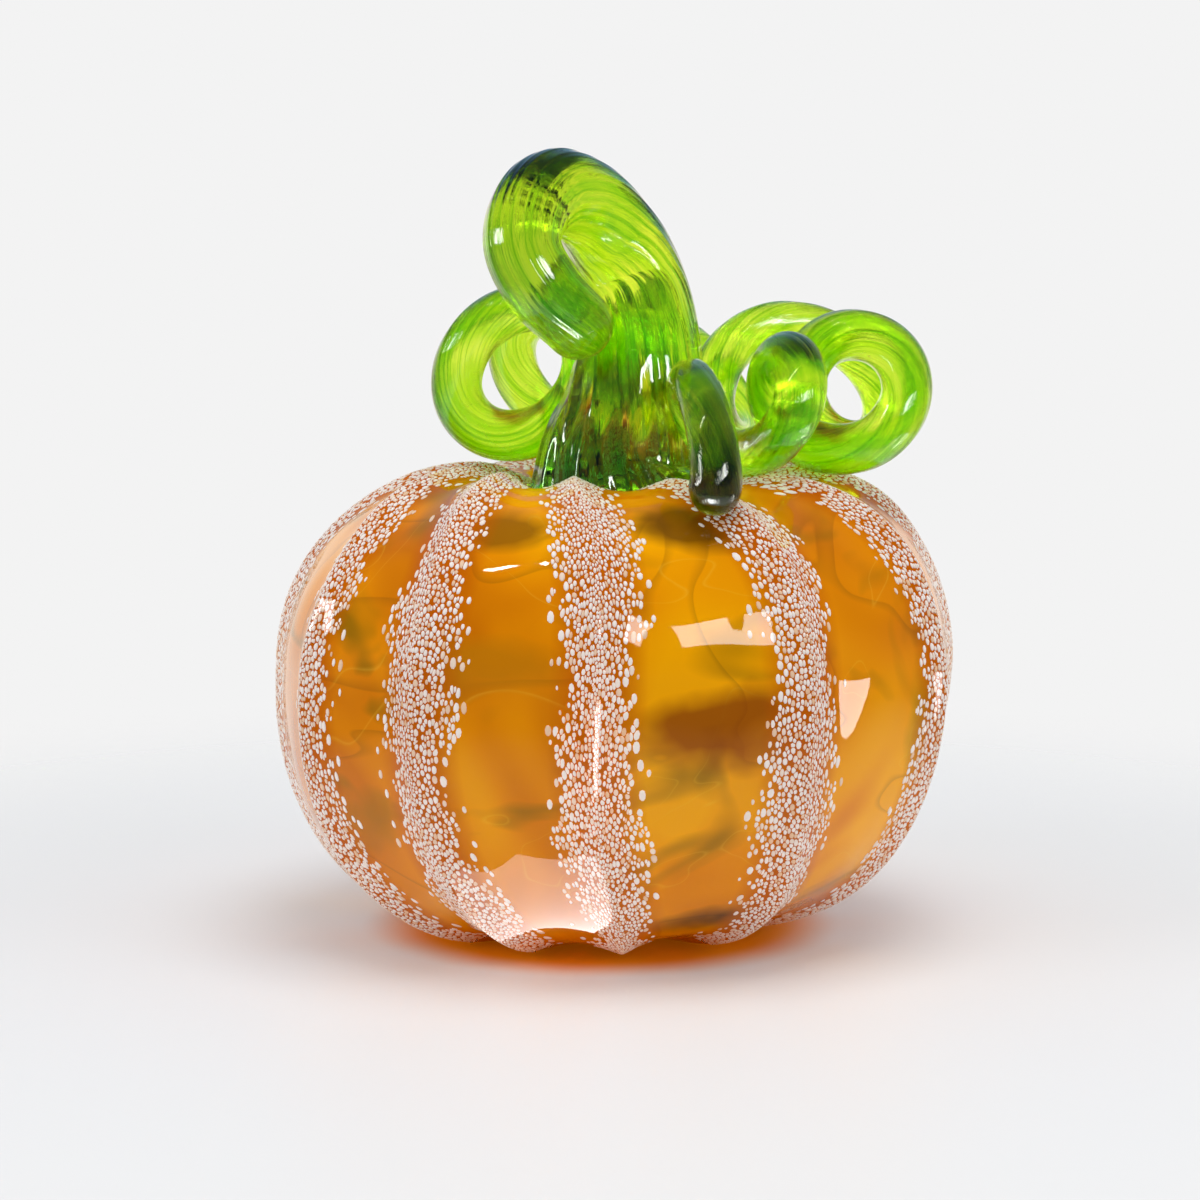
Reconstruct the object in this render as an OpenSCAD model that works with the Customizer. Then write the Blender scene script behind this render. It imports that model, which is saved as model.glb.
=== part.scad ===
// Hand-blown glass pumpkin: ribbed amber body, white frit bands, green stem and curled tendril.
// Millimetres, +Z up, the pumpkin faces -Y. The origin is the centre of the flat base.

/* [Body] */
// Radius of the flat base
base_r = 22; // [16:1:28]
// Radius at the widest place, on the rib crests
waist_r = 66.2; // [58:0.2:74]
// Height of the widest place
waist_z = 50; // [44:1:58]
// Radius of the ring of rib tops round the dimple
crest_r = 32; // [28:1:38]
// Height of the ring of rib tops
crest_z = 88.4; // [80:0.4:98]
// Radius of the neck hole at the bottom of the dimple
neck_r = 8; // [6:0.5:10]
// Height of the rim of the neck hole
neck_z = 75.5; // [70:0.5:78]
// How square the lower half is, 2 being an ellipse
fullness = 2.2; // [2:0.05:2.6]
// How far the neck leans to the right of the base
lean_x = 5.5; // [0:0.5:8]

/* [Walls] */
// Depth of the casing's inner face below the rib crests
casing_wall = 5.2; // [4.8:0.1:6.5]
// Thickness of the inner colour bubble
bubble_wall = 1.8; // [1.2:0.1:2.6]

/* [Ribs] */
// Angle of the front rib from straight ahead, in degrees
first_rib = -3; // [-16:1:16]
// Height of a rib above the panel beside it
rib_h = 2.1; // [1:0.1:2.6]
// Distance from the crest at which a rib has fallen away
rib_w = 4.2; // [3:0.1:6]
// How flat the panels are, 0 being round and 1 straight
panel_flat = 0.4; // [0:0.05:0.6]
// Swirl of the ribs under the body, in degrees
foot_swirl = 10; // [0:1:16]
// Swirl of the ribs towards the neck, in degrees
neck_swirl = 46; // [0:1:60]

/* [Frit] */
// Thickness of a frit band on the crest
frit_t = 0.4; // [0.2:0.05:0.8]
// Thickness of a frit band at its edges
frit_edge_t = 0.15; // [0.1:0.05:0.3]

/* [Stem and tendril] */
// Clearance between the stem's plug and the neck hole
plug_gap = 0.05; // [0.02:0.01:0.2]
// Number of rings between two guide points of the stem
stem_steps = 3; // [2:1:4]
// Number of rings in half a turn of the tendril
turn_steps = 7; // [6:1:9]
// Number of sides of the tendril
tendril_sides = 10; // [8:1:12]

/* [Hidden] */

amber = "#E39408";
rust = "#C0500A";
frit_white = "#E6DEE4";
stem_green = "#6FB80C";
tendril_green = "#86C414";

// The ribs were pulled up by hand, so each one is a few degrees away from even spacing.
RIB_DRIFT = [0, 1.3, 3.5, 2.8, 2, 1.4, 1.6, 1.9, 4.2, 8.5, 2.7];
rib_count = len(RIB_DRIFT);
frit_angle = 7.5;
crest_angle = 2.5;

// How far the base dips below the table before it is ground flat
base_dip = 0.5;
block = 200;

// Stem: x, y, z and radius along its centre line, from the foot over the crook to the tip
STEM = [[4.5, 0, 84.5, 18.3], [4.4, 0, 90, 16], [6, 0, 98, 13.9], [7.2, 1, 107, 12.3],
    [7.6, 3.2, 115, 10.8], [6.3, 5.8, 123, 9.8], [2.7, 6, 130.8, 9.1], [-2.4, 2.2, 137.3, 8.4],
    [-8.4, -4.8, 139.9, 8], [-13, -10.6, 136.6, 7.5], [-14.4, -14, 129.6, 7.2],
    [-10.8, -15, 122.4, 7.1], [-4.3, -13.2, 115.4, 6.6]];
// The stem's crook bends in the upright plane square to this direction.
CROOK_SIDE = [0.68, -0.73, 0];
crook_azimuth = 43;

// Tendril: for each half turn the centre of the coil, its radius, the yaw of its plane and the rod radius
COIL = [[-8, -5, 106.5, 12, -203, 4.5], [-12, 0.5, 106.5, 12, -196, 4.7],
    [-17.4, 9.4, 105.8, 12.4, -188, 5], [-11.2, 24.3, 104.8, 12, -170, 4.9],
    [-1, 28.5, 103.8, 11.2, -142, 4.7], [6, 32, 102.8, 10.2, -115, 4.5],
    [11, 34.5, 102.3, 9.8, -95, 4.4], [15, 34, 101.3, 9.4, -75, 4.4],
    [26, 27.5, 102.6, 10.4, -48, 4.5], [36, 18.5, 102.7, 11.8, -25, 4.7],
    [49.5, 12.5, 102.8, 11.4, -5, 4.8], [48.2, 3.5, 101.6, 11.4, 10, 4.9],
    [44.5, -7, 102.5, 10.7, 30, 4.8], [35, -12, 99.6, 9.6, 52, 4.9],
    [26, -18, 101.1, 9.3, 60, 4.5], [16.8, -28, 97, 8.1, 70, 4.2],
    [18.3, -45.5, 90.9, 6.8, 62, 4.9], [19, -57, 88, 5, 55, 5.4]];
tendril_start = 0.88;
tendril_end = 15.74;

// ---- Curves ----

// Catmull-Rom curve through the rows of a list, u counting rows from 0
function row(rows, i) = i < 0 ? 2 * rows[0] - rows[1]
    : i > len(rows) - 1 ? 2 * rows[len(rows) - 1] - rows[len(rows) - 2] : rows[i];
function along(rows, u) = let (i = min(floor(u), len(rows) - 2), f = u - i,
    a = row(rows, i - 1), b = row(rows, i), c = row(rows, i + 1), d = row(rows, i + 2))
    (2 * b + (c - a) * f + (2 * a - 5 * b + 4 * c - d) * f * f
        + (3 * b - a - 3 * c + d) * f * f * f) / 2;
function xyz(v) = [v[0], v[1], v[2]];
function unit(v) = v / norm(v);

// ---- Body surface ----

// Radius and height of the rib crests. t runs over the base from 0 to 1, up the side to the
// widest place at 2, on to the rib tops at 3 and down the dimple to the neck at 4.
function profile(t) = t <= 1 ? [base_r * t, -base_dip * (1 - t * t)]
    : t <= 2 ? let (a = 90 * (t - 1), p = 2 / fullness)
        [base_r + (waist_r - base_r) * pow(sin(a), p), waist_z * (1 - pow(cos(a), p))]
    : t <= 3 ? let (a = 90 * (t - 2))
        [crest_r + (waist_r - crest_r) * cos(a), waist_z + (crest_z - waist_z) * sin(a)]
    : [crest_r - (crest_r - neck_r) * (t - 3),
        neck_z + (crest_z - neck_z) * (1 + cos(180 * (t - 3))) / 2];

// Outward normal of the profile
function outward(t) = let (e = 0.01, d = profile(min(t + e, 4)) - profile(max(t - e, 0)))
    t < e ? [0, -1] : t > 4 - e ? [0, 1] : [d[1], -d[0]] / norm(d);

// Sideways lean of a level and swirl of the ribs there
function lean(t) = let (z = profile(t)[1]) t <= 1 ? 0
    : t <= 2 ? lean_x * 0.5 * z / waist_z
    : t <= 3 ? lean_x * (0.5 + 0.5 * pow((z - waist_z) / (crest_z - waist_z), 2)) : lean_x;
function swirl(t) = let (p = profile(t)) t <= 2
    ? foot_swirl * pow(1 - max(p[1], 0) / waist_z, 2.4)
    : -neck_swirl * pow(1 - p[0] / waist_r, 1.6);

// Ribs fade out towards the base and the neck.
function rib_fade(r) = min(max((r - 14) / 16, 0), 1);

// A column of the surface is its azimuth, its angle from the nearest crest and half the gap.
function rib_azimuth(k) = first_rib + k * 360 / rib_count + RIB_DRIFT[k % rib_count];
function half_gap(k) = (rib_azimuth(k + 1) - rib_azimuth(k)) / 2;
function right_side(k, steps) = [for (o = steps) [rib_azimuth(k) + o, o, half_gap(k)]];
function left_side(k, steps) = [for (o = steps) [rib_azimuth(k) - o, o, half_gap(k - 1)]];

COLUMNS = [for (k = [0 : rib_count - 1]) each concat(
    right_side(k, [0, crest_angle, frit_angle, half_gap(k)]),
    left_side(k + 1, [frit_angle, crest_angle]))];
STEM_COLUMNS = [for (k = [0 : rib_count - 1]) each concat(
    right_side(k, [0, frit_angle, half_gap(k)]), left_side(k + 1, [frit_angle]))];

// How far the ribbed surface lies below the rib crests, at a column and a crest radius
function drop(col, r) = let (d = col[1] * PI / 180, g = col[2] * PI / 180,
    sag = panel_flat * r * (g * g - (g - d) * (g - d)) / 2,
    ridge = rib_h * (1 - exp(-pow(d * r / rib_w, 1.4)))) rib_fade(r) * (sag + ridge);

// A point at a given depth under the rib crests
function at_depth(t, col, depth) = let (p = profile(t) - depth * outward(t), a = col[0] + swirl(t))
    [lean(t) + p[0] * sin(a), -p[0] * cos(a), p[1]];
function skin(t, col, proud) = at_depth(t, col, drop(col, profile(t)[0]) - proud);

SIDE_ROWS = [for (i = [0 : 9]) 1 + i / 9];
TOP_ROWS = [for (i = [1 : 8]) 2 + i / 8];
DIMPLE_ROWS = [3.25, 3.5, 3.75, 4];
ROWS = concat([0.6], SIDE_ROWS, TOP_ROWS, DIMPLE_ROWS);
FRIT_ROWS = [for (t = ROWS) if (t > 1.1 && t < 3.6) t];

function ring(t, depth) = [for (c = COLUMNS) at_depth(t, c, depth)];
function ribbed_ring(t) = [for (c = COLUMNS) skin(t, c, 0)];
function reversed(rows) = [for (i = [len(rows) - 1 : -1 : 0]) rows[i]];

// ---- Solids from rings ----

// A closed solid: rings of points from one end to the other, each end closed to a single point
module ringed_solid(rings, first, last) {
    n = len(rings[0]);
    m = len(rings);
    points = concat([first], [for (r = rings) each r], [last]);
    sides = [for (j = [0 : m - 2], i = [0 : n - 1]) let (a = 1 + j * n + i,
        b = 1 + j * n + (i + 1) % n) each [[a, b, b + n], [a, b + n, a + n]]];
    start = [for (i = [0 : n - 1]) [0, 1 + (i + 1) % n, 1 + i]];
    end = [for (i = [0 : n - 1]) [m * n + 1, 1 + (m - 1) * n + i, 1 + (m - 1) * n + (i + 1) % n]];
    polyhedron([for (p = points) p], [for (f = concat(start, sides, end)) reversed(f)], 12);
}

// The colour bubble: the first gather, blown smooth and open at the neck
module inner_bubble() color(amber) {
    inside = casing_wall + bubble_wall;
    ringed_solid(concat([for (t = ROWS) ring(t, casing_wall)],
        [for (t = reversed(ROWS)) ring(t, inside)]),
        [0, 0, casing_wall - base_dip], [0, 0, inside - base_dip]);
}

// The ribbed casing over it, ground flat underneath
module outer_casing() color(amber, 0.6)
    intersection() {
        ringed_solid(concat([for (t = ROWS) ribbed_ring(t)],
            [for (t = reversed(ROWS)) ring(t, casing_wall)]),
            [0, 0, -base_dip], [0, 0, casing_wall - base_dip]);
        translate([-block / 2, -block / 2, 0]) cube(block);
    }

// A band of crushed white glass fused along rib k
module rib_frit(k) color(frit_white) {
    cols = concat(left_side(k == 0 ? rib_count : k, [frit_angle, crest_angle]),
        right_side(k, [0, crest_angle, frit_angle]));
    rings = [for (t = FRIT_ROWS) concat(
        [for (c = cols) skin(t, c, c[1] == frit_angle ? frit_edge_t : frit_t)],
        [for (c = reversed(cols)) skin(t, c, 0)])];
    n = len(rings[0]);
    m = len(rings);
    w = len(cols);
    sides = [for (j = [0 : m - 2], i = [0 : n - 1]) let (a = j * n + i, b = j * n + (i + 1) % n)
        each [[a, b, b + n], [a, b + n, a + n]]];
    ends = [for (j = [0, m - 1], i = [0 : w - 2]) let (a = j * n + i, b = j * n + n - 1 - i)
        each (j == 0 ? [[a, b, a + 1], [a + 1, b, b - 1]] : [[a, a + 1, b], [a + 1, b - 1, b]])];
    polyhedron([for (r = rings) each r], [for (f = concat(sides, ends)) reversed(f)], 12);
}

// Ring of a tube square to its direction, started from a side vector
function tube_ring(centre, r, direction, side, angles) = let (t = unit(direction),
    u = unit(side - (side * t) * t), v = cross(t, u))
    [for (a = angles) centre + r * (cos(a) * u + sin(a) * v)];

// Rings that round off the end of a tube
function round_end(centre, r, direction, side, angles) = [for (a = [25, 50, 72])
    tube_ring(centre + r * sin(a) * unit(direction), r * cos(a), direction, side, angles)];

// The stem: a plug in the neck hole, a foot on the dimple, a tapering rod and its crook
module stem() color(stem_green) {
    foot = 3.5;
    angles = [for (c = STEM_COLUMNS) c[0] + swirl(foot) - crook_azimuth];
    last = len(STEM) - 1;
    rod = [for (i = [0 : last * stem_steps]) let (u = i / stem_steps, v = along(STEM, u),
        d = along(STEM, min(u + 0.05, last)) - along(STEM, max(u - 0.05, 0)))
        tube_ring(xyz(v), v[3], u == 0 ? [0, 0, 1] : xyz(d), CROOK_SIDE, angles)];
    tip = STEM[last];
    tip_dir = xyz(along(STEM, last) - along(STEM, last - 0.1));
    plug_z = neck_z - casing_wall - bubble_wall;
    plug = [for (z = [plug_z, neck_z]) [for (c = STEM_COLUMNS) let (a = c[0] + swirl(4),
        r = neck_r - plug_gap) [lean_x + r * sin(a), -r * cos(a), z]]];
    under = [for (t = [3.75, foot]) [for (c = STEM_COLUMNS) skin(t, c, 0)]];
    ringed_solid(concat(plug, under, rod, round_end(xyz(tip), tip[3], tip_dir, CROOK_SIDE, angles)),
        [lean_x, 0, plug_z], xyz(tip) + tip[3] * unit(tip_dir));
}

// Radial direction and centre line of the tendril, u counting half turns
function coil_out(u) = let (yaw = along(COIL, u)[4], a = 270 - 180 * u)
    [cos(a) * cos(yaw), -cos(a) * sin(yaw), sin(a)];
function coil_point(u) = let (v = along(COIL, u)) xyz(v) + v[3] * coil_out(u);
function coil_dir(u) = unit(coil_point(u + 0.02) - coil_point(u - 0.02));

// The tendril: a rod wound round a mandrel, then draped behind the stem
module tendril() color(tendril_green) {
    angles = [for (i = [0 : tendril_sides - 1]) i * 360 / tendril_sides];
    turned = tendril_end - tendril_start;
    steps = round(turned * turn_steps);
    places = [for (i = [0 : steps]) tendril_start + turned * i / steps];
    rings = [for (u = places)
        tube_ring(coil_point(u), along(COIL, u)[5], coil_dir(u), coil_out(u), angles)];
    first_r = along(COIL, tendril_start)[5];
    last_r = along(COIL, tendril_end)[5];
    first_end = reversed(round_end(coil_point(tendril_start), first_r,
        -coil_dir(tendril_start), coil_out(tendril_start), -angles));
    last_end = round_end(coil_point(tendril_end), last_r, coil_dir(tendril_end),
        coil_out(tendril_end), angles);
    ringed_solid(concat(first_end, rings, last_end),
        coil_point(tendril_start) - first_r * coil_dir(tendril_start),
        coil_point(tendril_end) + last_r * coil_dir(tendril_end));
}

inner_bubble();
outer_casing();
stem();
tendril();
rib_frit(0);  // rib_frit_01
rib_frit(1);  // rib_frit_02
rib_frit(2);  // rib_frit_03
rib_frit(3);  // rib_frit_04
rib_frit(4);  // rib_frit_05
rib_frit(5);  // rib_frit_06
rib_frit(6);  // rib_frit_07
rib_frit(7);  // rib_frit_08
rib_frit(8);  // rib_frit_09
rib_frit(9);  // rib_frit_10
rib_frit(10);  // rib_frit_11
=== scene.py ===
import math

import bpy
import numpy as np
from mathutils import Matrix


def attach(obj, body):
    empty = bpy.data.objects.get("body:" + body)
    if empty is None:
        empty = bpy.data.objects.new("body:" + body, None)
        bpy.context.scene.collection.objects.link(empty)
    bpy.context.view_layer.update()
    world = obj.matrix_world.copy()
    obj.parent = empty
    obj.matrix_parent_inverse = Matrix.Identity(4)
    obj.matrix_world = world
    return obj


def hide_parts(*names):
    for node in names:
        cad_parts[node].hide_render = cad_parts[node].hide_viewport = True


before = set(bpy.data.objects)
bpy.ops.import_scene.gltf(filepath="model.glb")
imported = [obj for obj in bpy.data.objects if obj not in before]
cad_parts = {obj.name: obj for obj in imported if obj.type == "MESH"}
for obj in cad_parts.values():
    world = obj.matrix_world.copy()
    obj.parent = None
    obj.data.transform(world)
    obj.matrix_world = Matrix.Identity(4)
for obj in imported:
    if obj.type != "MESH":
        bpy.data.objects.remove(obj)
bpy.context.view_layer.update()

# ---------------------------------------------------------------------------------------------
# Body: amber glass blown in an eleven-rib optic mould, cased over an opaque colour bubble and
# fire-polished. The ribs swirl a little at the foot and more at the neck. The base is ground flat.
# ---------------------------------------------------------------------------------------------

MM = 0.001
BASE_R, WAIST_R, WAIST_Z = 22, 66.2, 50
CREST_R, CREST_Z, NECK_R, NECK_Z = 32, 88.4, 8, 75.5
FULLNESS = 2.2
LEAN_X = 5.5
RIB_H, RIB_W, PANEL_FLAT = 2.1, 4.2, 0.4
FOOT_SWIRL, NECK_SWIRL = 10, 46
RIB_DRIFT = np.array([0, 1.3, 3.5, 2.8, 2, 1.4, 1.6, 1.9, 4.2, 8.5, 2.7])
RIBS = len(RIB_DRIFT)
RIB_AZIMUTH = -3 + np.arange(RIBS) * 360 / RIBS + RIB_DRIFT


def profile(t):
    """Radius and height of the rib crests at t, in mm: flat base to 1, a fuller-than-round quarter
    to the waist at 2, a round quarter to the rib tops at 3, a cosine dimple to the neck at 4."""
    low = np.radians(90 * np.clip(t - 1, 0, 1))
    high = np.radians(90 * np.clip(t - 2, 0, 1))
    dip = np.clip(t - 3, 0, 1)
    p = 2 / FULLNESS
    r = np.where(t <= 1, BASE_R * t, BASE_R + (WAIST_R - BASE_R) * np.sin(low) ** p)
    r = np.where(t > 2, CREST_R + (WAIST_R - CREST_R) * np.cos(high), r)
    z = np.where(t > 2, WAIST_Z + (CREST_Z - WAIST_Z) * np.sin(high), WAIST_Z * (1 - np.cos(low) ** p))
    r = np.where(t > 3, CREST_R - (CREST_R - NECK_R) * dip, r)
    z = np.where(t > 3, NECK_Z + (CREST_Z - NECK_Z) * (1 + np.cos(np.pi * dip)) / 2, z)
    return r, z


def rib_angles(a):
    """Angle from the nearest rib crest and half the gap between the two ribs there, in degrees."""
    turn = (np.asarray(a)[..., None] - RIB_AZIMUTH) % 360
    behind, ahead = turn.min(-1), (360 - turn).min(-1)
    return np.minimum(behind, ahead), (behind + ahead) / 2


def body_point(t, a, proud=0.0):
    """A point of the ribbed surface, in mm. It lies on the profile, moved in along its normal by the
    rib's bell shape and the panel's sag, less four faint waves of hot working, then out by proud,
    and at last swirled and leant with its height. Ribs fade out near the foot and the neck."""
    t, a = np.broadcast_arrays(np.asarray(t, float), np.asarray(a, float))
    r, z = profile(t)
    r1, z1 = profile(np.clip(t + 0.01, 0, 4))
    r0, z0 = profile(np.clip(t - 0.01, 0, 4))
    length = np.hypot(r1 - r0, z1 - z0) + 1e-9
    out_r, out_z = (z1 - z0) / length, (r0 - r1) / length
    off, gap = rib_angles(a)
    d, g = np.radians(off), np.radians(gap)
    fade = np.clip((r - 14) / 16, 0, 1)
    sag = PANEL_FLAT * r * (g**2 - (g - d) ** 2) / 2
    ridge = RIB_H * (1 - np.exp(-((d * r / RIB_W) ** 1.4)))
    spin = np.radians(a)
    wave = 0.16 * np.sin(2 * spin + 3.1 * t) + 0.13 * np.sin(5 * spin - 4.3 * t + 1)
    wave = wave + 0.10 * np.sin(9 * spin + 7.7 * t + 2) + 0.07 * np.sin(16 * spin - 12 * t)
    depth = fade * (sag + ridge - wave) - proud
    r, z_out = r - out_r * depth, z - out_z * depth
    up = np.clip(z / WAIST_Z, 0, 1)
    over = np.clip((z - WAIST_Z) / (CREST_Z - WAIST_Z), 0, 1)
    lean = np.where(t <= 2, 0.5 * up, 0.5 + 0.5 * over**2) * LEAN_X
    lean = np.where(t > 3, LEAN_X, lean)
    crest, _ = profile(t)
    low = FOOT_SWIRL * (1 - up) ** 2.4
    high = -NECK_SWIRL * np.clip(1 - crest / WAIST_R, 0, 1) ** 1.6
    turn = np.radians(a + np.where(t <= 2, low, high))
    return np.stack([lean + r * np.sin(turn), -r * np.cos(turn), np.maximum(z_out, 0)], -1)


def grid_mesh(name, grid, first, last, attributes=None):
    """A closed mesh from rings of points, each row a ring, with a fan to one point at each end.
    Attributes are given per grid point; the end points take the mean of their ring."""
    rows, around = grid.shape[:2]
    points = np.vstack([[first], grid.reshape(-1, 3), [last]]) * MM
    j, i = np.meshgrid(np.arange(rows - 1), np.arange(around), indexing="ij")
    a = 1 + j * around + i
    b = 1 + j * around + (i + 1) % around
    quads = np.stack([a, b, b + around, a + around], -1).reshape(-1, 4)
    k = np.arange(around)
    top = 1 + (rows - 1) * around
    fans = [np.stack([np.zeros_like(k), 1 + (k + 1) % around, 1 + k], -1),
            np.stack([np.full_like(k, rows * around + 1), top + k, top + (k + 1) % around], -1)]
    mesh = bpy.data.meshes.new(name)
    mesh.from_pydata(points.tolist(), [], [*quads.tolist(), *fans[0].tolist(), *fans[1].tolist()])
    mesh.polygons.foreach_set("use_smooth", np.ones(len(mesh.polygons), bool))
    for key, values in (attributes or {}).items():
        flat = values.reshape(rows * around, -1)
        flat = np.vstack([flat[:around].mean(0), flat, flat[-around:].mean(0)]).astype(np.float32)
        kind, field = ("FLOAT", "value") if flat.shape[1] == 1 else ("FLOAT_VECTOR", "vector")
        mesh.attributes.new(key, kind, "POINT").data.foreach_set(field, flat.ravel())
    piece = bpy.data.objects.new(name, mesh)
    bpy.context.scene.collection.objects.link(piece)
    return piece


PER_RIB = 34
CROWDING = 0.7
even = np.arange(PER_RIB) / PER_RIB
crowded = even - CROWDING * np.sin(2 * np.pi * even) / (2 * np.pi)
next_rib = np.append(RIB_AZIMUTH[1:], RIB_AZIMUTH[0] + 360)
columns = (RIB_AZIMUTH[:, None] + (next_rib - RIB_AZIMUTH)[:, None] * crowded).ravel()
rows = np.concatenate([np.linspace(0.05, 0.98, 12), np.linspace(1, 2, 110)[:-1],
                       np.linspace(2, 3, 86)[:-1], np.linspace(3, 4, 40)])
t_grid, a_grid = np.meshgrid(rows, columns, indexing="ij")
body_grid = body_point(t_grid, a_grid)
crest_mm = np.radians(rib_angles(a_grid)[0]) * profile(t_grid)[0]
body = grid_mesh("ribbed_glass_body", body_grid, (0, 0, 0), (LEAN_X, 0, NECK_Z), {"rib_mm": crest_mm})


def srgb(code):
    """Linear colour with alpha 1 from an sRGB hex code."""
    c = np.array([int(code[k : k + 2], 16) for k in (1, 3, 5)]) / 255
    linear = np.where(c <= 0.04045, c / 12.92, ((c + 0.055) / 1.055) ** 2.4)
    return (*linear.tolist(), 1.0)


def add(tree, kind, links=None, stops=(), **settings):
    """A node of a kind, with its settings, its inputs given as values or as sockets to link, and
    its (position, colour) stops when it is a colour ramp."""
    node = tree.nodes.new(kind)
    for key, value in settings.items():
        setattr(node, key, value)
    for key, value in (links or {}).items():
        if isinstance(value, bpy.types.NodeSocket):
            tree.links.new(value, node.inputs[key])
        else:
            node.inputs[key].default_value = value
    for k, (position, colour) in enumerate(stops):
        if k > 1:
            node.color_ramp.elements.new(position)
        node.color_ramp.elements[k].position = position
        node.color_ramp.elements[k].color = colour
    return node


def new_material(name):
    """An empty node material and its output node."""
    material = bpy.data.materials.new(name)
    material.use_nodes = True
    material.node_tree.nodes.clear()
    return material, material.node_tree, add(material.node_tree, "ShaderNodeOutputMaterial")


BLACK, WHITE = (0, 0, 0, 1), (1, 1, 1, 1)
# Marks in the glass and painted glints: noise scale per metre, distortion, squeeze along each axis,
# the stops that cut the mark out, its colour and strength. They are smoky patches about 40 mm across,
# brown cords that wander round the body every 100 to 200 mm, and pale yellow threads that are painted
# glints.
MARKS_AND_PAINTED_GLINTS = ((24, 1.6, (1, 1, 1.9), [(0.56, BLACK), (0.72, WHITE)], "#946A04", 0.85),
               (5.5, 2.4, (1, 1, 2.6), [(0.48, BLACK), (0.5, WHITE), (0.503, BLACK)], "#7A4A06", 0.3),
               (7, 3.0, (1.4, 1.4, 2.8), [(0.565, BLACK), (0.57, WHITE), (0.573, BLACK)], "#FFD23C", 0.2))
# Painted reflections and shade: brown, olive and gold patches on the front of the body. They
# are set by position: centre and half size in mm, and colour.
PAINTED_SHADE_AND_REFLECTIONS = (((19, -58, 48), (17, 12, 7), "#8E3E02"), ((31, -56, 45), (7, 9, 4), "#B86A0A"),
                ((22, -48, 9), (17, 14, 4), "#3A2408"), ((16, -44, 80), (13, 9, 4), "#6A4206"),
                ((-45, -46, 24), (8, 10, 9), "#9A6E06"), ((-20, -58, 58), (14, 9, 5), "#C87C06"),
                ((-17, -46, 80), (10, 9, 4), "#8E5A06"), ((58, -24, 45), (5, 12, 12), "#B08A06"))


# Cased amber glass, fire-polished: an opaque orange colour under a clear layer, so it shines like
# wet varnish, over clouds of colour about 60 mm across. The heat of the frit has turned it rust.
def amber_glass():
    """Colour clouds, then the marks, painted glints and patches of painted reflection and shade laid over
    them, then the rust by the ribs.
    """
    material, tree, out = new_material("cased_amber_glass")
    place = add(tree, "ShaderNodeTexCoord").outputs["Object"]
    cloud = add(tree, "ShaderNodeTexNoise", {"Vector": place, "Scale": 17, "Detail": 2, "Distortion": 1})
    tone = add(tree, "ShaderNodeValToRGB", {"Fac": cloud.outputs["Fac"]}, stops=[
        (0.36, srgb("#D27400")), (0.48, srgb("#EA8E00")), (0.62, srgb("#FCAC00"))]).outputs[0]
    # Each mark is laid over the tone; the pale yellow threads among them are painted glints.
    for scale, distortion, stretch, stops, colour, amount in MARKS_AND_PAINTED_GLINTS:
        spread = add(tree, "ShaderNodeMapping", {"Vector": place, "Scale": stretch})
        noise = add(tree, "ShaderNodeTexNoise", {"Vector": spread.outputs[0], "Scale": scale,
                                                 "Detail": 2, "Distortion": distortion})
        mask = add(tree, "ShaderNodeValToRGB", {"Fac": noise.outputs["Fac"]}, stops=stops)
        mask = add(tree, "ShaderNodeMath", {0: mask.outputs[0], 1: amount}, operation="MULTIPLY")
        tone = add(tree, "ShaderNodeMix", {"Factor": mask.outputs[0], "A": tone, "B": srgb(colour)},
                   data_type="RGBA").outputs["Result"]
    ruffle = add(tree, "ShaderNodeTexNoise", {"Vector": place, "Scale": 55, "Detail": 3})
    # Patches of painted reflection and shade, set by position on the front and frayed by noise.
    for centre, half, colour in PAINTED_SHADE_AND_REFLECTIONS:
        away = add(tree, "ShaderNodeVectorMath", {0: place, 1: [c * MM for c in centre]},
                   operation="SUBTRACT")
        away = add(tree, "ShaderNodeVectorMath", {0: away.outputs[0], 1: [h * MM for h in half]},
                   operation="DIVIDE")
        away = add(tree, "ShaderNodeVectorMath", {0: away.outputs[0]}, operation="LENGTH")
        frayed = add(tree, "ShaderNodeMath", {0: ruffle.outputs["Fac"], 1: 1.6, 2: away.outputs["Value"]},
                     operation="MULTIPLY_ADD")
        mask = add(tree, "ShaderNodeMapRange", {"Value": frayed.outputs[0], "From Min": 2.0,
                                                "From Max": 1.4, "To Max": 0.85})
        tone = add(tree, "ShaderNodeMix", {"Factor": mask.outputs[0], "A": tone, "B": srgb(colour)},
                   data_type="RGBA").outputs["Result"]
    rib = add(tree, "ShaderNodeAttribute", attribute_name="rib_mm").outputs["Fac"]
    near = add(tree, "ShaderNodeMapRange", {"Value": rib, "From Min": 9.0, "From Max": 3.5, "To Max": 0.9})
    tone = add(tree, "ShaderNodeMix", {"Factor": near.outputs[0], "A": tone, "B": srgb("#C45C00")},
               data_type="RGBA").outputs["Result"]
    shader = add(tree, "ShaderNodeBsdfPrincipled", {
        "Base Color": tone, "Roughness": 0.35, "IOR": 1.5, "Specular IOR Level": 0.0,
        "Coat Weight": 1.0, "Coat Roughness": 0.02, "Coat IOR": 1.3})
    tree.links.new(shader.outputs[0], out.inputs["Surface"])
    return material


body.data.materials.append(amber_glass())
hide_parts("outer_casing")
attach(body, "root")

# ---------------------------------------------------------------------------------------------
# Inner bubble: the first gather of opaque amber colour glass, hidden under the casing.
# Blown smooth, so it keeps its plain shape and takes a mottled colour-glass material.
# ---------------------------------------------------------------------------------------------


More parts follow.
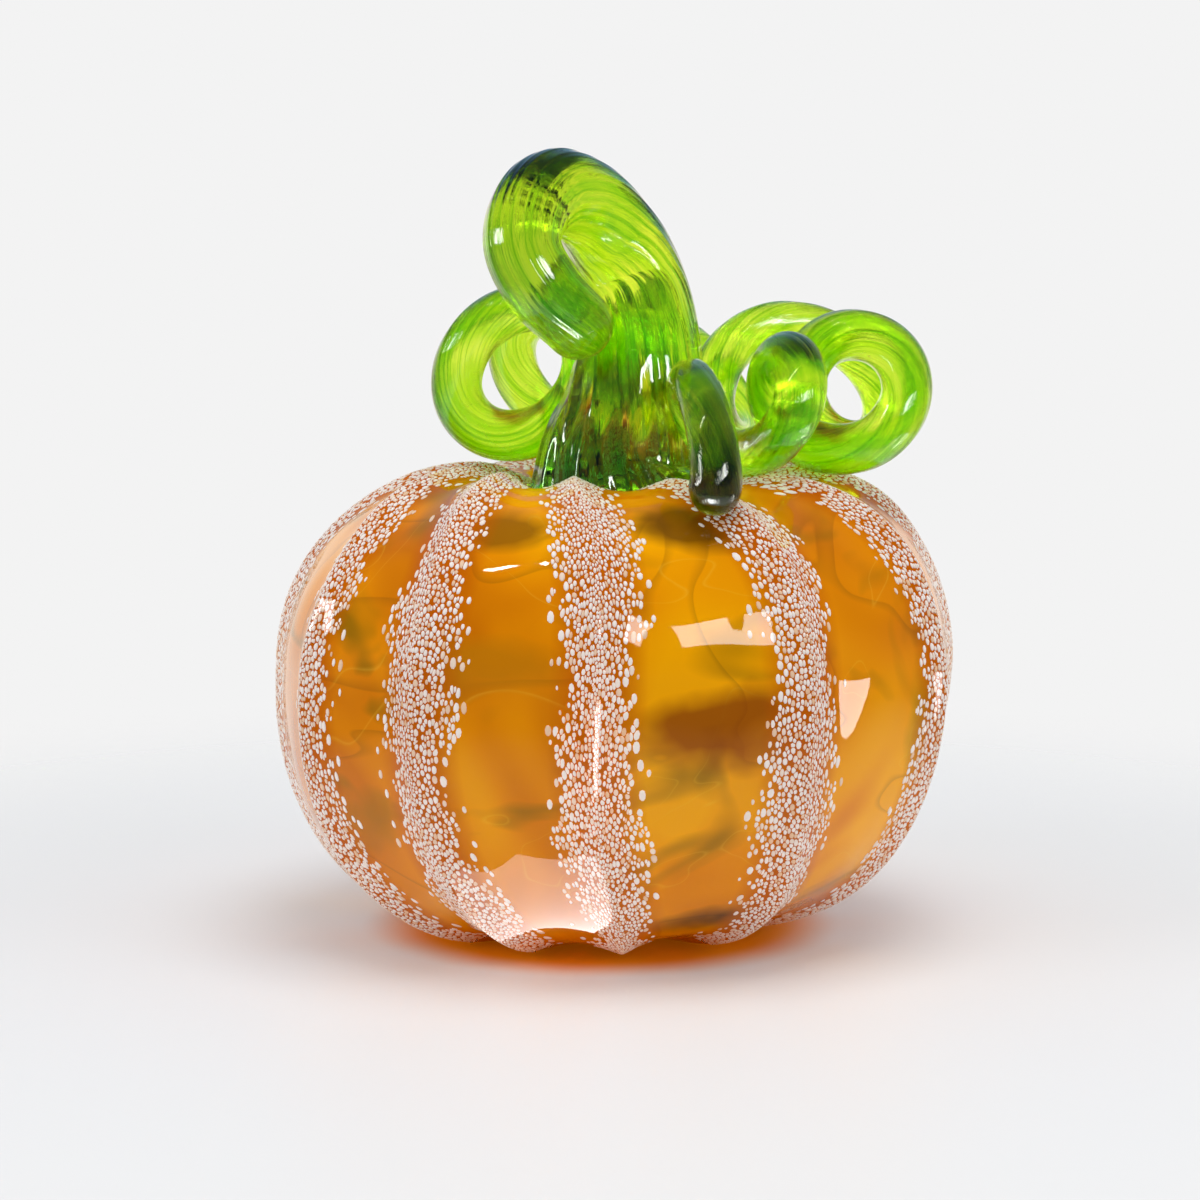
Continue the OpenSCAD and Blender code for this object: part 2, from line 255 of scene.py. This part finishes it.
# Opaque colour glass, blown: a fine mottle of about 17 mm from the crushed colour it picked up.
def colour_glass():
    material, tree, out = new_material("opaque_amber_colour_glass")
    place = add(tree, "ShaderNodeTexCoord").outputs["Object"]
    mottle = add(tree, "ShaderNodeTexNoise", {"Vector": place, "Scale": 60, "Detail": 4})
    tone = add(tree, "ShaderNodeValToRGB", {"Fac": mottle.outputs["Fac"]}, stops=[
        (0.35, srgb("#B8640A")), (0.65, srgb("#E39408"))])
    shader = add(tree, "ShaderNodeBsdfPrincipled", {
        "Base Color": tone.outputs[0], "Roughness": 0.25, "IOR": 1.5})
    tree.links.new(shader.outputs[0], out.inputs["Surface"])
    return material


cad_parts["inner_bubble"].data.materials.clear()
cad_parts["inner_bubble"].data.materials.append(colour_glass())

# ---------------------------------------------------------------------------------------------
# Frit bands: crushed opaque white glass, rolled along each rib and melted in until the grains
# are low smooth beads, most of them 0.7 to 1.8 mm long and 0.4 to 1 mm wide. They are packed on
# the crest and scattered at the sides.
# ---------------------------------------------------------------------------------------------

GRAIN_SIDES = 9
GRAIN_PITCH = 1.25
BAND_COLUMNS = 27
BAND_HALF = 10
BEAD_H = 0.12
SHOULDER = 0.72
SUNK, UNDER = -0.04, -0.12
GRAIN_STRETCH = 1.8
SMALLEST, FREE_MIN, FREE_MAX = 0.09, 0.28, 0.74

rib_t = np.linspace(1.12, 3.55, 1200)
rib_r, rib_z = profile(rib_t)
rib_s = np.concatenate([[0], np.cumsum(np.hypot(np.diff(rib_r), np.diff(rib_z)))])


def grain_seeds(rng):
    """Places along and across a rib, in mm: a jittered grid, squeezed by a power towards the crest,
    thinned at random past a wavy edge, and narrowed in step with the radius towards the neck."""
    along = np.arange(0, rib_s[-1], GRAIN_PITCH)
    across = np.linspace(-1, 1, BAND_COLUMNS)
    s, x = np.meshgrid(along, across, indexing="ij")
    s = s + GRAIN_PITCH * (np.arange(BAND_COLUMNS) % 2 / 2 + rng.uniform(-0.5, 0.5, s.shape))
    x = x + rng.uniform(-1.2, 1.2, x.shape) / BAND_COLUMNS
    s, x = np.clip(s, 0, rib_s[-1]).ravel(), x.ravel()
    narrow = 0.45 + 0.55 * np.interp(s, rib_s, rib_r) / WAIST_R
    edge = 0.56 + 0.10 * np.sin(s / 9 + rng.uniform(0, 6)) + 0.06 * np.sin(s / 3.1)
    keep = np.clip(1 - (np.abs(x) - edge) / 0.42, 0.10, 1) ** 1.4
    chosen = rng.uniform(size=s.shape) < keep
    return s[chosen], (BAND_HALF * narrow * np.sign(x) * np.abs(x) ** 1.35)[chosen]


def grain_outlines(s, w, rng):
    """Radius of each grain in GRAIN_SIDES directions: half way to every neighbour, less the seam
    between grains, no wider than a free grain, then smoothed round. Grains lie along the rib, as
    the distances are taken with that direction shrunk and the outlines are stretched back."""
    lean = 0.25 * np.sin(s / 6 + w / 3)
    place = np.stack([s / GRAIN_STRETCH, w + lean], -1)
    apart = place[None] - place[:, None]
    near = np.argsort((apart**2).sum(-1), 1)[:, 1:13]
    gap = np.take_along_axis(apart, near[..., None], 1)
    angles = np.arange(GRAIN_SIDES) * 2 * np.pi / GRAIN_SIDES
    aim = np.stack([np.cos(angles), np.sin(angles)], -1)
    toward = np.einsum("nkc,ac->nka", gap, aim)
    square = (gap**2).sum(-1)[..., None]
    reach = np.where(toward > 1e-6, square / np.maximum(2 * toward, 1e-6), 9).min(1)
    free = rng.uniform(FREE_MIN, FREE_MAX, (len(s), 1)) * rng.uniform(0.8, 1.2, reach.shape)
    seam = 0.055 + 0.006 * np.abs(w)[:, None]
    reach = np.minimum(reach * 1.10 - seam, free)
    reach = (np.roll(reach, 1, 1) + 3 * reach + np.roll(reach, -1, 1)) / 5
    reach = np.maximum(reach, SMALLEST)
    return GRAIN_STRETCH * reach * aim[:, 0], reach * aim[:, 1], reach.mean(1)


def unit(v):
    """Vectors divided by their lengths."""
    return v / np.linalg.norm(v, axis=-1, keepdims=True)


def frit_band(number):
    """One rib's grains as one mesh of closed lens-shaped beads: a rim sunk in the skin, a shoulder
    ring, a crown point and a point underneath. Each point keeps the smooth skin's normal."""
    rng = np.random.default_rng(40 + number)
    s, w = grain_seeds(rng)
    ds, dw, size = grain_outlines(s, w, rng)
    high = np.minimum(BEAD_H, 0.6 * size)[:, None]

    def on_rib(along, across, proud):
        """The body's surface at a distance along and across this rib, in mm."""
        t = np.interp(along, rib_s, rib_t)
        a = RIB_AZIMUTH[number] + np.degrees(across / profile(t)[0])
        return body_point(t, a, proud)

    def skin_normal(along, across):
        """Cross product of a small step across and a small step along the rib."""
        here = on_rib(along, across, 0)
        up, beside = on_rib(along + 0.3, across, 0) - here, on_rib(along, across + 0.3, 0) - here
        return unit(np.cross(beside, up))

    one = np.ones_like(ds)
    rim = on_rib(s[:, None] + ds, w[:, None] + dw, SUNK * one)
    shoulder = on_rib(s[:, None] + SHOULDER * ds, w[:, None] + SHOULDER * dw, 0.8 * high * one)
    crown = on_rib(s[:, None], w[:, None], high)
    under = on_rib(s[:, None], w[:, None], UNDER * np.ones_like(high))
    points = np.concatenate([rim, shoulder, crown, under], 1)
    n, m = GRAIN_SIDES, points.shape[1]
    i = np.arange(n)
    j = (i + 1) % n
    side = np.stack([j, i, i + n, j + n], -1)
    caps = np.concatenate([np.stack([j + n, i + n, np.full(n, 2 * n)], -1),
                           np.stack([i, j, np.full(n, 2 * n + 1)], -1)])
    start = (np.arange(len(s)) * m)[:, None, None]
    faces = (start + side).reshape(-1, 4).tolist() + (start + caps).reshape(-1, 3).tolist()
    mesh = bpy.data.meshes.new(f"frit_band_{number + 1:02d}")
    mesh.from_pydata((points.reshape(-1, 3) * MM).tolist(), [], faces)
    mesh.polygons.foreach_set("use_smooth", np.ones(len(mesh.polygons), bool))
    shade = np.repeat(rng.uniform(size=len(s)), m).astype(np.float32)
    mesh.attributes.new("grain", "FLOAT", "POINT").data.foreach_set("value", shade)
    flat = np.concatenate([skin_normal(s[:, None] + k * ds, w[:, None] + k * dw)
                           for k in (1, SHOULDER, 0)], 1)
    flat = flat[:, : 2 * n + 2].astype(np.float32)
    mesh.attributes.new("skin_normal", "FLOAT_VECTOR", "POINT").data.foreach_set("vector", flat.ravel())
    piece = bpy.data.objects.new(mesh.name, mesh)
    bpy.context.scene.collection.objects.link(piece)
    return piece


# Opaque white glass frit, melted in and fire-polished: each grain is a slightly different white,
# and some are stained peach by the amber round them. The gloss runs on smoothly from the body's.
def white_frit():
    material, tree, out = new_material("melted_white_frit")
    grain = add(tree, "ShaderNodeAttribute", attribute_name="grain").outputs["Fac"]
    tone = add(tree, "ShaderNodeValToRGB", {"Fac": grain}, stops=[
        (0.0, srgb("#F2C8A0")), (0.25, srgb("#FAE6D6")), (0.6, srgb("#FFF5EE"))])
    skin = add(tree, "ShaderNodeAttribute", attribute_name="skin_normal").outputs["Vector"]
    shader = add(tree, "ShaderNodeBsdfPrincipled", {
        "Base Color": tone.outputs[0], "Roughness": 0.5, "IOR": 1.5, "Specular IOR Level": 0.0,
        "Coat Weight": 1.0, "Coat Roughness": 0.02, "Coat IOR": 1.3, "Coat Normal": skin})
    tree.links.new(shader.outputs[0], out.inputs["Surface"])
    return material


frit_material = white_frit()
for number in range(RIBS):
    band = frit_band(number)
    band.data.materials.append(frit_material)
    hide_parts(f"rib_frit_{number + 1:02d}")
    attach(band, "root")

# ---------------------------------------------------------------------------------------------
# Stem: a hot bit of clear green glass dropped on the neck, pulled up tapering and hooked over.
# The pull draws its cords out as fine twisted ridges and streaks along its length.
# ---------------------------------------------------------------------------------------------

STEM = np.array([[4.5, 0, 84.5, 18.3], [4.4, 0, 90, 16], [6, 0, 98, 13.9], [7.2, 1, 107, 12.3],
                 [7.6, 3.2, 115, 10.8], [6.3, 5.8, 123, 9.8], [2.7, 6, 130.8, 9.1],
                 [-2.4, 2.2, 137.3, 8.4], [-8.4, -4.8, 139.9, 8], [-13, -10.6, 136.6, 7.5],
                 [-14.4, -14, 129.6, 7.2], [-10.8, -15, 122.4, 7.1], [-4.3, -13.2, 115.4, 6.6]])
CROOK_SIDE = np.array([0.68, -0.73, 0])
CROOK_AZIMUTH = 43


def through(table, u):
    """Catmull-Rom curve through the rows of a table, u counting rows from 0."""
    table = np.vstack([2 * table[0] - table[1], table, 2 * table[-1] - table[-2]])
    i = np.clip(np.floor(u).astype(int), 0, len(table) - 4)
    f = (u - i)[:, None]
    a, b, c, d = table[i], table[i + 1], table[i + 2], table[i + 3]
    return (2 * b + (c - a) * f + (2 * a - 5 * b + 4 * c - d) * f**2
            + (3 * b - a - 3 * c + d) * f**3) / 2


def tube_grid(centre, heading, side, radius, angles):
    """Rings square to the heading: centre + radius (cos u + sin v), u being the side vector
    made square to the heading and v the cross product. Radius is one per point of the grid."""
    u = unit(side - (side * heading).sum(-1, keepdims=True) * heading)
    v = np.cross(heading, u)
    c, s = np.cos(angles)[..., None], np.sin(angles)[..., None]
    return centre[:, None] + radius[..., None] * (c * u[:, None] + s * v[:, None])


def round_tip(centre, heading, radius, steps=14):
    """Centres, headings and radii of the rings that round off a tube's end as a half ball."""
    a = np.linspace(0.1, 1.5, steps)
    return (centre + radius * np.sin(a)[:, None] * heading, np.repeat(heading[None], steps, 0),
            radius * np.cos(a))


# The rod's surface is its radius plus cords, sines of the twisted angle, and plus lobes and drips
# that die away up from the foot over FOOT_FADE mm. STEM_DRAW is how far the streaks are drawn out.
STEM_AROUND, STEM_ALONG = 176, 440
STEM_TWIST, STEM_DRAW, FOOT_FADE = 0.022, 330, 14
u = np.linspace(0, len(STEM) - 1, STEM_ALONG)
line = through(STEM, u)
heading = unit(np.gradient(line[:, :3], axis=0))
heading[0] = (0, 0, 1)
tip_c, tip_h, tip_r = round_tip(line[-1, :3], heading[-1], line[-1, 3])
centre = np.vstack([line[:, :3], tip_c])
heading = np.vstack([heading, tip_h])
radius = np.concatenate([line[:, 3], tip_r])
length = np.concatenate([[0], np.cumsum(np.linalg.norm(np.diff(centre, axis=0), axis=1))])
angles = np.tile(np.linspace(0, 2 * np.pi, STEM_AROUND, endpoint=False), (len(length), 1))
twist = angles + STEM_TWIST * length[:, None]
cords = 0.5 * np.sin(11 * twist) + 0.32 * np.sin(17 * twist + 1 + 0.01 * length[:, None])
cords = cords + 0.3 * np.sin(26 * twist + 2) + 0.2 * np.sin(37 * twist + 0.7)
low = np.exp(-length / FOOT_FADE)[:, None]
lobes = np.cos(RIBS * (angles + 0.75))
drips = np.sin(29 * angles + 1.3 * np.sin(length[:, None] / 5)) * np.sin(length[:, None] / 3 + 5 * angles)
ripple = radius[:, None] * (0.012 * cords + low * (0.045 * lobes + 0.016 * drips))
stem_grid = tube_grid(centre, heading, np.repeat(CROOK_SIDE[None], len(centre), 0),
                      radius[:, None] + ripple, angles)
foot_angles = angles[0] + np.radians(CROOK_AZIMUTH)
foot_rows = [body_point(np.full(STEM_AROUND, t), np.degrees(foot_angles) + NECK_SWIRL * 0.5, 0.05)
             for t in (3.95, 3.8, 3.65)]
for ring in foot_rows:
    middle = np.array([LEAN_X, 0, 0])
    spread = np.hypot(ring[:, 0] - middle[0], ring[:, 1])
    ring[:, 0] = middle[0] + spread * np.sin(foot_angles)
    ring[:, 1] = -spread * np.cos(foot_angles)
stem_grid = np.concatenate([np.array(foot_rows), stem_grid])
pull = np.repeat(np.concatenate([[-6, -4, -2], length])[:, None], STEM_AROUND, 1)
spun = np.concatenate([np.repeat(twist[:1], 3, 0), twist])
streak = np.stack([np.cos(spun), np.sin(spun), pull / STEM_DRAW], -1)
stem = grid_mesh("hooked_green_stem", stem_grid, (LEAN_X, 0, NECK_Z), tip_c[-1] + tip_h[-1] * 0.02,
                 {"streak": streak, "run_mm": pull})


# Clear lime-green glass, hot-drawn: it absorbs red and blue, so thin places glow lime and thick ones
# go dark. Its cords are streaks about 1.5 mm wide and 40 mm long, felt as faint ridges 0.6 mm high
# at most, and colours from the foot or the tip are drawn along with them.
def green_glass(name, zones, density):
    """Glass whose tint follows the zones, (mm, colour) stops along its run, frayed by its cords."""
    material, tree, out = new_material(name)
    lines = add(tree, "ShaderNodeAttribute", attribute_name="streak").outputs["Vector"]
    run = add(tree, "ShaderNodeAttribute", attribute_name="run_mm").outputs["Fac"]
    fine = add(tree, "ShaderNodeTexNoise", {"Vector": lines, "Scale": 8, "Detail": 3, "Roughness": 0.65})
    broad = add(tree, "ShaderNodeTexNoise", {"Vector": lines, "Scale": 3, "Detail": 2})
    fray = add(tree, "ShaderNodeMath", {0: fine.outputs["Fac"], 1: 14.0, 2: run}, operation="MULTIPLY_ADD")
    longest = zones[-1][0]
    share = add(tree, "ShaderNodeMath", {0: fray.outputs[0], 1: longest}, operation="DIVIDE")
    tone = add(tree, "ShaderNodeValToRGB", {"Fac": share.outputs[0]}, stops=[
        (mm / longest, srgb(code)) for mm, code in zones]).outputs[0]
    for lines_drawn, stops in (
            (fine, [(0.36, srgb("#98D030")), (0.48, srgb("#F8FFCC")), (0.60, WHITE)]),
            (broad, [(0.40, srgb("#BCE858")), (0.56, WHITE)])):
        layer = add(tree, "ShaderNodeValToRGB", {"Fac": lines_drawn.outputs["Fac"]}, stops=stops)
        tone = add(tree, "ShaderNodeMix", {"Factor": 1.0, "A": tone, "B": layer.outputs[0]},
                   data_type="RGBA", blend_type="MULTIPLY").outputs["Result"]
    ridges = add(tree, "ShaderNodeBump", {"Height": fine.outputs["Fac"], "Strength": 0.28,
                                          "Distance": 0.0006})
    shader = add(tree, "ShaderNodeBsdfPrincipled", {
        "Base Color": tone, "Roughness": 0.015, "IOR": 1.5, "Transmission Weight": 1.0,
        "Normal": ridges.outputs[0], "Coat Weight": 0.6, "Coat Roughness": 0.02, "Coat IOR": 1.45})
    tint = add(tree, "ShaderNodeVolumeAbsorption", {"Color": (0.87, 0.965, 0.0, 1), "Density": density})
    tree.links.new(shader.outputs[0], out.inputs["Surface"])
    tree.links.new(tint.outputs[0], out.inputs["Volume"])
    return material


# The amber band from 17 to 24 mm along the run is painted: it stands in for the orange body seen through
# the foot.
STEM_ZONES_WITH_PAINTED_AMBER = [(0, "#88DCC0"), (11, "#98D8A0"), (17, "#FFCC60"), (24, "#FFD668"), (31, "#FAFF64"),
              (64, "#EEFA4C"), (90, "#B4D034")]
stem.data.materials.append(green_glass("drawn_green_stem_glass", STEM_ZONES_WITH_PAINTED_AMBER, 30))
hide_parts("stem")
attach(stem, "root")

# ---------------------------------------------------------------------------------------------
# Tendril: a thin rod of the same green glass, wound hot round a mandrel, slipped off and laid
# round the back of the stem, with its end pressed down as a knob on the shoulder.
# ---------------------------------------------------------------------------------------------

COIL = np.array([[-8, -5, 106.5, 12, -203, 4.5], [-12, 0.5, 106.5, 12, -196, 4.7],
                 [-17.4, 9.4, 105.8, 12.4, -188, 5], [-11.2, 24.3, 104.8, 12, -170, 4.9],
                 [-1, 28.5, 103.8, 11.2, -142, 4.7], [6, 32, 102.8, 10.2, -115, 4.5],
                 [11, 34.5, 102.3, 9.8, -95, 4.4], [15, 34, 101.3, 9.4, -75, 4.4],
                 [26, 27.5, 102.6, 10.4, -48, 4.5], [36, 18.5, 102.7, 11.8, -25, 4.7],
                 [49.5, 12.5, 102.8, 11.4, -5, 4.8], [48.2, 3.5, 101.6, 11.4, 10, 4.9],
                 [44.5, -7, 102.5, 10.7, 30, 4.8], [35, -12, 99.6, 9.6, 52, 4.9],
                 [26, -18, 101.1, 9.3, 60, 4.5], [16.8, -28, 97, 8.1, 70, 4.2],
                 [18.3, -45.5, 90.9, 6.8, 62, 4.9], [19, -57, 88, 5, 55, 5.4]])
COIL_START, COIL_END = 0.88, 15.74
TENDRIL_AROUND, TENDRIL_ALONG = 64, 1380
TENDRIL_TWIST, TENDRIL_DRAW = 0.05, 270

# COIL holds x, y, z, coil radius and heading in degrees of each half turn, and the rod's radius.
# The centre line goes round in that circle, half a turn a row, as the row's centre moves on.
u = np.linspace(COIL_START, COIL_END, TENDRIL_ALONG)
guide = through(COIL, u)
yaw, phase = np.radians(guide[:, 4]), np.radians(270 - 180 * u)
outward = np.stack([np.cos(phase) * np.cos(yaw), -np.cos(phase) * np.sin(yaw), np.sin(phase)], -1)
centre = guide[:, :3] + guide[:, 3:4] * outward
heading = unit(np.gradient(centre, axis=0))
head_c, head_h, head_r = round_tip(centre[0], -heading[0], guide[0, 5])
tail_c, tail_h, tail_r = round_tip(centre[-1], heading[-1], guide[-1, 5])
centre = np.vstack([head_c[::-1], centre, tail_c])
heading = np.vstack([-head_h[::-1], heading, tail_h])
outward = np.vstack([np.repeat(outward[:1], len(head_c), 0), outward,
                     np.repeat(outward[-1:], len(tail_c), 0)])
radius = np.concatenate([head_r[::-1], guide[:, 5], tail_r])
length = np.concatenate([[0], np.cumsum(np.linalg.norm(np.diff(centre, axis=0), axis=1))])
angles = np.tile(np.linspace(0, 2 * np.pi, TENDRIL_AROUND, endpoint=False), (len(length), 1))
twist = angles + TENDRIL_TWIST * length[:, None]
ripple = radius[:, None] * (0.008 * np.sin(7 * twist) + 0.006 * np.sin(12 * twist + 1))
to_tip = np.repeat(length[-1] - length[:, None], TENDRIL_AROUND, 1)
tendril_grid = tube_grid(centre, heading, outward, radius[:, None] + ripple, angles)
drawn = np.repeat(length[:, None] / TENDRIL_DRAW, TENDRIL_AROUND, 1)
streak = np.stack([np.cos(twist), np.sin(twist), drawn], -1)
tendril = grid_mesh("curled_green_tendril", tendril_grid, head_c[-1] + 0.02 * head_h[-1],
                    tail_c[-1] + 0.02 * tail_h[-1], {"streak": streak, "run_mm": to_tip})
TENDRIL_ZONES = [(0, "#3A2C0C"), (13, "#5A4C18"), (22, "#A0A048"), (46, "#B8C860"), (66, "#EAF868"),
                 (100, "#ECFA70")]
tendril.data.materials.append(green_glass("drawn_green_tendril_glass", TENDRIL_ZONES, 80))
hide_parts("tendril")
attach(tendril, "root")

# ---------------------------------------------------------------------------------------------
# Stage: a pale table that fades into a plain bright background, soft studio light from a few
# softboxes, and the camera a little above the object's waist.
# ---------------------------------------------------------------------------------------------

bpy.context.scene.view_settings.view_transform = "Standard"

# Painted table top, satin: pale, with a painted pool of amber light close under the glass, where light
# comes through it. The top glows faintly in its own colour, so the pool glows amber too.
bpy.ops.mesh.primitive_circle_add(vertices=96, radius=0.9, fill_type="NGON")
table = bpy.context.object
table.name = "pale_table"
material, tree, out = new_material("pale_table_top")
spot = add(tree, "ShaderNodeVectorMath", {0: add(tree, "ShaderNodeTexCoord").outputs["Object"]},
           operation="LENGTH")
fade = add(tree, "ShaderNodeMapRange", {"Value": spot.outputs["Value"], "From Min": 0.10,
                                        "From Max": 0.30}, interpolation_type="SMOOTHSTEP")
# A painted pool of amber light close under the glass; the table's faint emission makes it glow.
glow = add(tree, "ShaderNodeMapRange", {"Value": spot.outputs["Value"], "From Min": 0.047,
                                        "From Max": 0.034}, interpolation_type="SMOOTHSTEP")
paint = add(tree, "ShaderNodeMix", {"Factor": glow.outputs[0], "A": srgb("#E8E9EA"), "B": srgb("#E88E0C")},
            data_type="RGBA")
satin = add(tree, "ShaderNodeBsdfPrincipled", {
    "Base Color": paint.outputs["Result"], "Roughness": 0.45, "IOR": 1.45, "Specular IOR Level": 0.2,
    "Emission Color": paint.outputs["Result"], "Emission Strength": 0.12})
clear = add(tree, "ShaderNodeBsdfTransparent")
mixed = add(tree, "ShaderNodeMixShader", {0: fade.outputs[0], 1: satin.outputs[0], 2: clear.outputs[0]})
tree.links.new(mixed.outputs[0], out.inputs["Surface"])
table.data.materials.append(material)

# The studio round the object. Behind it the world is an even white; on the camera's side it is
# patchy, as a room is. Mirrored in the glass it is dimmer in front and blue-grey overhead.
world = bpy.data.worlds.new("studio")
world.use_nodes = True
bpy.context.scene.world = world
tree = world.node_tree
tree.nodes.clear()
out = add(tree, "ShaderNodeOutputWorld")
seen = add(tree, "ShaderNodeBackground", {"Color": srgb("#F3F3F3"), "Strength": 1.0})
aim = add(tree, "ShaderNodeTexCoord").outputs["Generated"]
side = add(tree, "ShaderNodeSeparateXYZ", {0: aim})
behind_camera = add(tree, "ShaderNodeMapRange", {"Value": side.outputs["Y"], "From Min": -0.25,
                                                 "From Max": -0.7},
                    interpolation_type="SMOOTHSTEP")
patches = add(tree, "ShaderNodeTexNoise", {"Vector": aim, "Scale": 2.2, "Detail": 2})
room = add(tree, "ShaderNodeMapRange", {"Value": patches.outputs["Fac"], "From Min": 0.42,
                                        "From Max": 0.55, "To Min": 0.30, "To Max": 0.75})
level = add(tree, "ShaderNodeMix", {"Factor": behind_camera.outputs[0], 2: 1.0, 3: room.outputs[0]})
rays = add(tree, "ShaderNodeLightPath").outputs
share = add(tree, "ShaderNodeMath", {0: rays["Is Transmission Ray"], 1: 0.40, 2: 0.68},
            operation="MULTIPLY_ADD")
power = add(tree, "ShaderNodeMath", {0: share.outputs[0], 1: level.outputs[0]}, operation="MULTIPLY")
soft = add(tree, "ShaderNodeBackground", {"Color": srgb("#F4F4F6"), "Strength": power.outputs[0]})
ceiling = add(tree, "ShaderNodeMapRange", {"Value": side.outputs["Z"], "From Min": 0.08,
                                           "From Max": 0.30}, interpolation_type="SMOOTHSTEP")
sky = add(tree, "ShaderNodeMix", {"Factor": ceiling.outputs[0], "A": srgb("#FFF6EC"),
                                  "B": srgb("#6E94B4")}, data_type="RGBA")
shine = add(tree, "ShaderNodeMapRange", {"Value": side.outputs["Y"], "From Min": 0.96,
                                         "From Max": 0.4, "To Min": 1.0, "To Max": 0.2},
            interpolation_type="SMOOTHSTEP")
mirrored = add(tree, "ShaderNodeBackground", {"Color": sky.outputs["Result"],
                                              "Strength": shine.outputs[0]})
bounced = add(tree, "ShaderNodeMath", {0: rays["Is Glossy Ray"], 1: rays["Is Transmission Ray"]},
              operation="SUBTRACT", use_clamp=True)
lit = add(tree, "ShaderNodeMixShader", {0: bounced.outputs[0], 1: soft.outputs[0],
                                        2: mirrored.outputs[0]})
both = add(tree, "ShaderNodeMixShader", {0: rays["Is Camera Ray"], 1: lit.outputs[0],
                                         2: seen.outputs[0]})
tree.links.new(both.outputs[0], out.inputs["Surface"])


def softbox(name, place, target, size, power):
    """A rectangular area light at a place, facing a target, both in metres."""
    light = bpy.data.lights.new(name, "AREA")
    light.shape, light.size, light.size_y, light.energy = "RECTANGLE", size[0], size[1], power
    lamp = bpy.data.objects.new(name, light)
    lamp.location = place
    way = np.array(target) - np.array(place)
    lamp.rotation_euler = (math.atan2(np.hypot(way[0], way[1]), -way[2]), 0,
                           math.atan2(way[1], way[0]) - math.pi / 2)
    bpy.context.scene.collection.objects.link(lamp)
    return lamp


overhead = softbox("overhead_softbox", (0.1, -0.1, 0.9), (0, 0, 0.06), (0.5, 0.5), 3.0)
overhead.visible_glossy = False
# Fill light from both sides, and small bright cards that light nothing dull and are not seen
# themselves. They show as reflections, and through the green glass.
for name, across, power in (("left_fill", -0.95, 3.1), ("right_fill", 0.95, 2.2)):
    fill = softbox(name, (across, -0.50, 0.35), (0, 0, 0.06), (0.6, 0.6), power)
    fill.visible_camera = False
    fill.visible_glossy = False
for name, place, target, size, power in (
        ("window_card", (0.279, -0.46, 0.339), (0.02, -0.06, 0.064), (0.13, 0.13), 1.0),
        ("left_card", (-0.46, -0.10, 0.26), (-0.05, -0.03, 0.064), (0.06, 0.12), 0.45),
        ("small_lamp", (-0.22, -0.12, 0.46), (-0.01, -0.05, 0.075), (0.014, 0.014), 0.05),
        ("rib_card", (-0.001, -0.085, 0.038), (-0.001, -0.064, 0.039), (0.033, 0.028), 0.08),
        ("side_card", (0.14, -0.040, 0.025), (0.04, -0.048, 0.040), (0.010, 0.05), 0.022),
        ("table_card", (-0.015, -0.051, 0.001), (-0.015, -0.051, 1), (0.026, 0.024), 0.014)):
    card = softbox(name, place, target, size, power)
    card.visible_camera = False
    card.visible_diffuse = False

camera_data = bpy.data.cameras.new("camera")
camera_data.lens, camera_data.sensor_width = 90, 36
camera = bpy.data.objects.new("camera", camera_data)
camera.location = (-0.0002, -0.570, 0.1285)
camera.rotation_euler = (math.radians(90 - 6.6), 0, 0)
bpy.context.scene.collection.objects.link(camera)
bpy.context.scene.camera = camera
